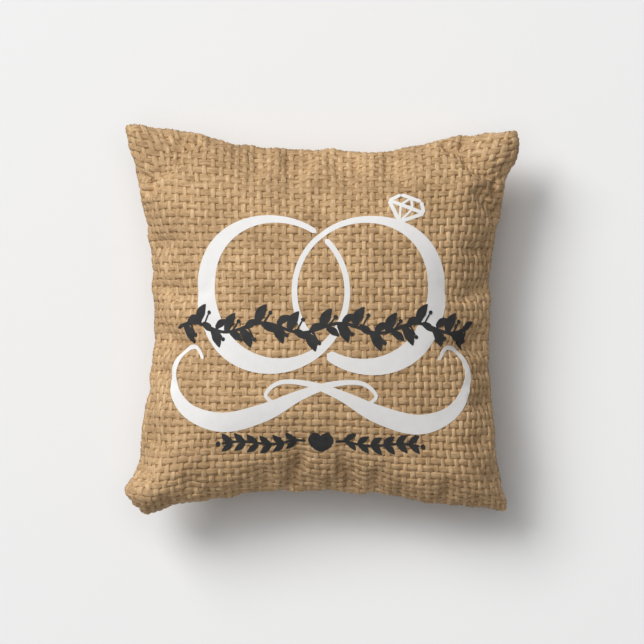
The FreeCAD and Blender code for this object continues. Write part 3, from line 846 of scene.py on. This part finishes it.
# The zip lies on an arc about an upright axis far out on the -Y side, as in the CAD model.
ZIP_AXIS_Y = -443.143
ZIP_RADIUS = 363.163
ZIP_TILT = math.radians(50)
SLOT_LONG = ZIP_RADIUS * math.radians(9.9)  # half the slot's length
SLOT_HALF = 4.2  # half its width
TAB_CUT = 1.9  # how much further out the yarns stop where the pull tab swings over the hem
TAB_HALF = 3.4  # half the strip that the tab swings over


def from_zip(a, b):
    """Cloth coordinates of a spot a mm along the zip and b mm across it, towards the middle."""
    r = ZIP_RADIUS + b * math.cos(ZIP_TILT)
    x = r * np.sin(a / ZIP_RADIUS)
    y = ZIP_AXIS_Y + r * np.cos(a / ZIP_RADIUS)
    u, v = x / SEAM_HALF, y / SEAM_HALF
    for _ in range(40):
        u, v = x / (SEAM_HALF + CORNER_REACH * v * v), y / (SEAM_HALF + CORNER_REACH * u * u)
    s, t = u, v
    for _ in range(40):
        s, t = (
            u - (np.interp(s, *MARKS) - s) * (1 - t * t),
            v - (np.interp(t, *MARKS) - t) * (1 - s * s),
        )
    return s, t


def in_slot(s, t, grow):
    """Whether a spot on the back lies in the zip's slot, or within grow mm of it."""
    u, v = place(s, t)
    flat = crowned(u, v, -1)
    r = np.hypot(flat[..., 0], flat[..., 1] - ZIP_AXIS_Y)
    a = ZIP_RADIUS * np.arctan2(flat[..., 0], flat[..., 1] - ZIP_AXIS_Y)
    b = (r - ZIP_RADIUS) / math.cos(ZIP_TILT)
    long = SLOT_LONG + grow + np.where((a > 0) & (np.abs(b) < TAB_HALF), TAB_CUT, 0.0)
    return (np.abs(a) < long) & (np.abs(b) < SLOT_HALF + grow) & (flat[..., 1] < -60)


def weave(name, side, count, others, width, lengthways, material):
    """One set of parallel yarns. lengthways is 's' for yarns that run across the panel."""
    samples = 5 * others + 1
    along = np.linspace(-1, 1, samples)[None, :, None]
    number = np.arange(count)[:, None, None]
    seed = 100 + 10 * side + (lengthways == "s")
    draw = np.random.default_rng(seed)
    pitch = 2 / count
    centre = -1 + (number + 0.5) * pitch + draw.normal(0, UNEVEN, number.shape) * pitch
    shift = draw.uniform(0, 100, number.shape)
    wander = waves(along * 9 + shift, 4, seed + 1) * STRAY * pitch
    crossing = (along + 1) / 2 * others - 0.5
    sign = 1 if lengthways == "s" else -1
    lift = sign * np.cos(math.pi * crossing) * np.where(number % 2, -1, 1)
    slub = 1 + SLUB * waves(along * 31 + shift * 3, 4, seed + 2)
    slub = slub + draw.normal(0, YARN_SPREAD, number.shape)
    half = width * pitch / 2 * slub * (1 + TOP_SWELL * lift)
    angle = SECTION[None, None, :]
    side_coord = centre + wander + half * np.sin(angle)
    rim_a = (1 - np.abs(along)) * FLAT_HALF
    rim_c = (1 - np.abs(side_coord)) * FLAT_HALF
    taper = smooth(np.minimum(rim_a, np.maximum(rim_c, 0)), -0.5, 3.0) * (1 - EDGE_SHARE) + EDGE_SHARE
    height = SINK * taper + RISE * lift * taper + THICK * slub * np.cos(angle) * (0.55 + 0.45 * taper)
    along, side_coord, height = np.broadcast_arrays(along, side_coord, height)
    side_coord = np.clip(side_coord, -1, 1)
    s, t = (along, side_coord) if lengthways == "s" else (side_coord, along)
    if side > 0:
        under = 1 - smooth(off_print(s, t), 0.35, 1.1)
        height = height + under * (np.minimum(height, FLAT_UNDER_PRINT) - height)
    points = raised(s, t, side, height)
    # how low each point lies, for the painted shade that darkens the dips of the weave
    depth = np.clip((height - SINK + 0.35) / (RISE + THICK + 0.35), 0, 1)
    rows, columns = samples, len(SECTION)
    faces = strip_faces(rows, columns)
    if (lengthways == "s") == (side > 0):
        faces = faces[:, ::-1]
    every = faces[None] + (np.arange(count) * rows * columns)[:, None, None]
    every = every.reshape(-1, 4)
    if side < 0:
        cut = in_slot(s, t, 0.9).reshape(-1)
        every = every[~cut[every].any(1)]
    return make_mesh(name, points, every, material, layers={"depth": depth})


LINING_DEPTH = 0.85


def lining(name, side, steps):
    """The sheet under the yarns, with the zip's slot cut out of it on the back."""
    line = np.linspace(-1, 1, steps + 1)
    s, t = np.meshgrid(line, line, indexing="ij")
    rim = np.minimum(1 - np.abs(s), 1 - np.abs(t)) * FLAT_HALF
    points = raised(s, t, side, -LINING_DEPTH * smooth(rim, -1.0, 3.0))
    faces = strip_faces(steps + 1, steps + 1)
    if side < 0:
        cut = in_slot(s, t, 0.5).reshape(-1)
        faces = faces[~cut[faces].any(1)][:, ::-1]
    return make_mesh(name, points, faces, lining_cloth)


cover_pieces = []
for side, title in ((1, "front"), (-1, "back")):
    cover_pieces += [
        weave(f"{title}_weft_yarns", side, WEFTS, WARPS, WEFT_WIDTH, "s", weft_jute),
        weave(f"{title}_warp_yarns", side, WARPS, WEFTS, WARP_WIDTH, "t", warp_jute),
    ]
cover_pieces += [lining("front_lining", 1, 150), lining("back_lining", -1, 220)]


def belongs(piece, slot, *cad):
    """Every soft piece rides on the pillow and stands for its CAD nodes."""
    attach(piece, "pillow")
    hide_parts(*cad)


for piece in cover_pieces:
    belongs(piece, "cover", "front_panel" if piece.name.startswith("front") else "back_panel")

# ------------------------------------------------------------------ print on the front

white_ornament = film("white_ornament", prints["white"], 0.2, 0.004, white_print)
dark_vine = film("dark_vine", prints["vine"], 0.36, 0.0006, dark_print)
dark_garland = film("dark_garland", prints["garland"], 0.22, 0.002, dark_print)
belongs(white_ornament, "white_print", "print_rings")
belongs(dark_vine, "dark_print", "print_vine")
belongs(dark_garland, "dark_print", "print_garland")

# ------------------------------------------------------------------ hem round the zip's slot

# the hem's section: how far out from the slot's edge each point is, and its height
HEM = [(0.14, -1.25), (0.12, 0.05), (0.3, 0.6), (0.95, 0.86), (2.1, 0.8), (2.95, 0.45), (3.3, -0.35)]
WRAP_PITCH = 4.1
WRAP_RIDGE, WRAP_SINK = 0.34, 0.22
TAB_ROOM = 0.02  # the hem stays lower than this under the pull tab
TAB_FROM, TAB_TO = 54, 60  # where along the zip that sets in
TAB_CLEAR = 5.0  # and how far across it the hem is back at its own height


def slot_ring(out, spacing=0.45):
    """Points round the slot at a distance out from its edge, as a and b on the zip."""
    long, half = SLOT_LONG, SLOT_HALF
    corners = []
    quarter = np.linspace(0, math.pi / 2, 9)
    for k, (ca, cb) in enumerate(((1, 1), (-1, 1), (-1, -1), (1, -1))):
        turn = quarter + k * math.pi / 2
        corners.append((ca * long + out * np.cos(turn), cb * half + out * np.sin(turn)))
    runs = [int(2 * long / spacing), int(2 * half / spacing)] * 2
    a, b = [], []
    for k in range(4):
        a.append(corners[k][0])
        b.append(corners[k][1])
        following = corners[(k + 1) % 4]
        f = np.linspace(0, 1, runs[k] + 1)[1:-1]
        a.append(corners[k][0][-1] + f * (following[0][0] - corners[k][0][-1]))
        b.append(corners[k][1][-1] + f * (following[1][0] - corners[k][1][-1]))
    return np.concatenate(a), np.concatenate(b)


def hem_height(a, b, height):
    """The hem's height as a row of soft ridges, where yarns fold over, and how far on a ridge."""
    ridge = np.abs(np.cos(math.pi * (a + 0.35 * b) / WRAP_PITCH)) ** 0.6
    lift = np.clip((height + 0.3) / 1.1, 0, 1)
    under_tab = smooth(a, TAB_FROM, TAB_TO) * (1 - smooth(np.abs(b), TAB_HALF, TAB_CLEAR))
    height = height + (WRAP_RIDGE * ridge - WRAP_SINK) * lift
    return height + under_tab * (np.minimum(height, TAB_ROOM) - height), ridge


hem_points, hem_painted_shade = [], []
for out, level in HEM:
    a, b = slot_ring(out)
    ridged, ridge = hem_height(a, b, level + 0 * a)
    hem_points.append(raised(*from_zip(a, b), -1, ridged))
    # painted shade: darker between the ridges and low down on the hem
    hem_painted_shade.append(np.clip(0.35 + 0.5 * ridge + 0.25 * (level - 0.6), 0, 1))
hem = make_mesh(
    "zip_slot_hem",
    np.stack(hem_points),
    strip_faces(len(HEM), len(hem_points[0]), closed=True),
    warp_jute,
    layers={"depth": np.stack(hem_painted_shade)},
)
belongs(hem, "cover", "back_panel")

# ------------------------------------------------------------------ sewing thread

THREAD_ARCH = 0.25
# each kind of stitch has a length and a radius
ZIP_STITCH = (2.4, 0.27)
SEAM_STITCH = (1.9, 0.22)
CASE_STITCH = (1.6, 0.17)


def thread(name, centres, ahead, up, length, radius, material):
    """Short arched stitches, each a closed capsule, that lie along ahead."""
    count, sides = 9, 8
    f = np.linspace(-1, 1, count)
    round_off = np.sqrt(np.maximum(1 - np.abs(f) ** 6, 0.01))
    turn = np.linspace(0, 2 * math.pi, sides, endpoint=False)
    across = np.cross(ahead, up)
    spine = centres[:, None] + ahead[:, None] * (f * length / 2)[None, :, None]
    spine = spine + up[:, None] * (THREAD_ARCH * (1 - f**2) - THREAD_ARCH)[None, :, None]
    ring = across[:, None, None] * np.cos(turn)[None, None, :, None]
    ring = ring + up[:, None, None] * np.sin(turn)[None, None, :, None]
    points = spine[:, :, None] + ring * (radius * round_off)[None, :, None, None]
    faces = strip_faces(count, sides, closed=True)
    caps = []
    for base, order in ((0, 1), ((count - 1) * sides, -1)):
        for k in range(1, sides - 2, 2):
            quad = [base, base + k, base + k + 1, base + k + 2]
            caps.append(quad[::order])
    faces = np.concatenate([faces, caps])
    every = faces[None] + (np.arange(len(centres)) * count * sides)[:, None, None]
    return make_mesh(name, points, every.reshape(-1, 4), material)


def unit(v):
    """The vectors at length 1."""
    return v / np.maximum(np.linalg.norm(v, axis=-1, keepdims=True), 1e-9)


STITCH_PITCH = 3.4
STITCH_OUT = 1.5  # from the slot's edge to the stitches
STITCH_LEVEL = 1.05  # height of the stitches on the hem

for title, way in (("front", -1), ("back", 1)):
    line = np.arange(-SLOT_LONG + 1.2, SLOT_LONG, STITCH_PITCH)
    b = way * (SLOT_HALF + STITCH_OUT) + 0 * line
    level = STITCH_LEVEL + 0 * line
    centres = raised(*from_zip(line, b), -1, level)
    ahead = unit(raised(*from_zip(line + 0.5, b), -1, level) - centres)
    up = facing(*from_zip(line, b), -1)
    stitches = thread(f"zip_{title}_stitches", centres, ahead, up, *ZIP_STITCH, thread_cotton)
    belongs(stitches, "thread", f"zip_stitching_{title}")


def rim_walk(spacing):
    """Cloth coordinates all the way round the seam."""
    run = np.arange(-FLAT_HALF + spacing / 2, FLAT_HALF, spacing) / FLAT_HALF
    one = np.ones_like(run)
    s = np.concatenate([run, one, -run, -one])
    t = np.concatenate([-one, run, one, -run])
    return s, t


def seam_frame(spacing, surface):
    """Points round a seam, with the directions along it and out from it."""
    s, t = rim_walk(spacing)
    centres = surface(s, t, 1)
    ahead = unit(np.roll(centres, -1, 0) - np.roll(centres, 1, 0))
    out = unit(np.cross(ahead, np.array([0.0, 0.0, 1.0])))
    return centres, ahead, out


# the overlock's threads cross the seam at a slant
centres, ahead, out = seam_frame(3.1, on_cloth)
slant = unit(np.cross(out, ahead) + 0.35 * ahead)
stitches = thread("seam_stitches", centres + out * 0.1, slant, out, *SEAM_STITCH, thread_cotton)
belongs(stitches, "thread", "seam_stitching")

# ------------------------------------------------------------------ inner case and filling

CASE_INSET = 7.0  # how far the inner case stays inside the cover's plain shape
FILL_INSET = 8.6
CASE_CORNERS = 0.8  # the share of the cover's corner reach that the case lacks


def inner_point(s, t, side, inset):
    """A plain crowned shape well inside the cover, clear of its wrinkles and of the zip."""
    u, v = place(s, t)
    half = SEAM_HALF - inset
    point = crowned(u, v, side, 0.0, half, CROWN - 0.7 * inset)
    point[..., 0] -= CASE_CORNERS * CORNER_REACH * u * v * v
    point[..., 1] -= CASE_CORNERS * CORNER_REACH * v * u * u
    if side > 0:
        point[..., 2] = SEAM_Z + (point[..., 2] - SEAM_Z) * FRONT_FULLNESS
    return point


def inner_panel(name, side, inset, material, lumps=0.0):
    """One half of the inner case or of its filling, which is lumpy."""
    steps = 96
    line = np.linspace(-1, 1, steps + 1)
    s, t = np.meshgrid(line, line, indexing="ij")
    points = inner_point(s, t, side, inset)
    rim = np.minimum(1 - np.abs(s), 1 - np.abs(t)) * FLAT_HALF
    pucker = waves(s * 21, 4, 61 + side) + waves(t * 21, 4, 66 + side)
    points[..., 2] -= side * 0.25 * (pucker + 2) * np.exp(-rim / 10) * smooth(rim, 0, 5)
    if lumps:
        lump = waves(s * 14 + 3 * t, 4, 71 + side) * waves(t * 12 - 2 * s, 4, 81 + side)
        points[..., 2] -= side * lumps * np.abs(lump) * smooth(rim, 0, 12)
    faces = strip_faces(steps + 1, steps + 1)
    return make_mesh(name, points, faces if side > 0 else faces[:, ::-1], material)


belongs(inner_panel("inner_case_front", 1, CASE_INSET, case_cloth), "case", "insert_front")
belongs(inner_panel("inner_case_back", -1, CASE_INSET, case_cloth), "case", "insert_back")
for side, title in ((1, "upper"), (-1, "lower")):
    wad = inner_panel(f"fibre_fill_{title}", side, FILL_INSET, fibre, lumps=0.8)
    belongs(wad, "filling", "fibre_fill")


def case_rim(s, t, side):
    """A point of the inner case, for its seam."""
    return inner_point(s, t, side, CASE_INSET)


centres, ahead, out = seam_frame(2.6, case_rim)
slant = unit(np.cross(out, ahead) + 0.5 * ahead)
case_stitches = thread("inner_case_stitches", centres, slant, out, *CASE_STITCH, case_thread)
belongs(case_stitches, "case_thread", "insert_stitching")

# ------------------------------------------------------------------ the zip's own materials

ZIP_MATERIALS = {
    "zip_tape_front": zip_tape,
    "zip_tape_back": zip_tape,
    "zip_teeth_front": zip_plastic,
    "zip_teeth_back": zip_plastic,
    "zip_top_stops": zip_plastic,
    "zip_bottom_stop": zip_plastic,
    "zip_slider": old_brass,
    "zip_pull_tab": old_brass,
}
for node_name, material in ZIP_MATERIALS.items():
    for material_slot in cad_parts[node_name].material_slots:
        material_slot.material = material

# ------------------------------------------------------------------ room, light and camera

floor_material, _, floor_shader = new_material("floor", 0.9)
floor_shader.inputs["Base Color"].default_value = (0.8, 0.8, 0.8, 1)
FLOOR_HALF = 2500
corners = [(x * FLOOR_HALF, y * FLOOR_HALF, 0) for x, y in ((-1, -1), (1, -1), (1, 1), (-1, 1))]
floor = make_mesh("floor", corners, [[0, 1, 2, 3]], floor_material, smooth_shading=False)

TARGET = (0, 0, 0.03)


def area_light(name, position, size, power):
    """A square light aimed at the pillow. Position and size are in metres, power in watts."""
    data = bpy.data.lights.new(name, "AREA")
    data.energy = power
    data.size = size
    lamp = bpy.data.objects.new(name, data)
    bpy.context.scene.collection.objects.link(lamp)
    lamp.location = position
    aim = Vector(TARGET) - Vector(position)
    lamp.rotation_mode = "QUATERNION"
    lamp.rotation_quaternion = aim.to_track_quat("-Z", "Y")


area_light("key", (-3.6, 3.4, 4.9), 3.4, 446)
area_light("overhead", (-0.3, 0.4, 3.0), 2.4, 29)
world = bpy.data.worlds.new("room")
bpy.context.scene.world = world
world.use_nodes = True
world.node_tree.nodes["Background"].inputs["Color"].default_value = (1, 1, 1, 1)
world.node_tree.nodes["Background"].inputs["Strength"].default_value = 0.19
bpy.context.scene.view_settings.view_transform = "Standard"

camera_data = bpy.data.cameras.new("camera")
camera = bpy.data.objects.new("camera", camera_data)
bpy.context.scene.collection.objects.link(camera)
DISTANCE = 2.2
VIEW_WIDTH = 0.326  # what the picture takes in at the seam's height, in metres
SENSOR = 36
camera_data.sensor_width = SENSOR
camera_data.lens = SENSOR * (DISTANCE - SEAM_Z * MM) / VIEW_WIDTH
camera.location = (0.0006, -0.0022, DISTANCE)
bpy.context.scene.camera = camera
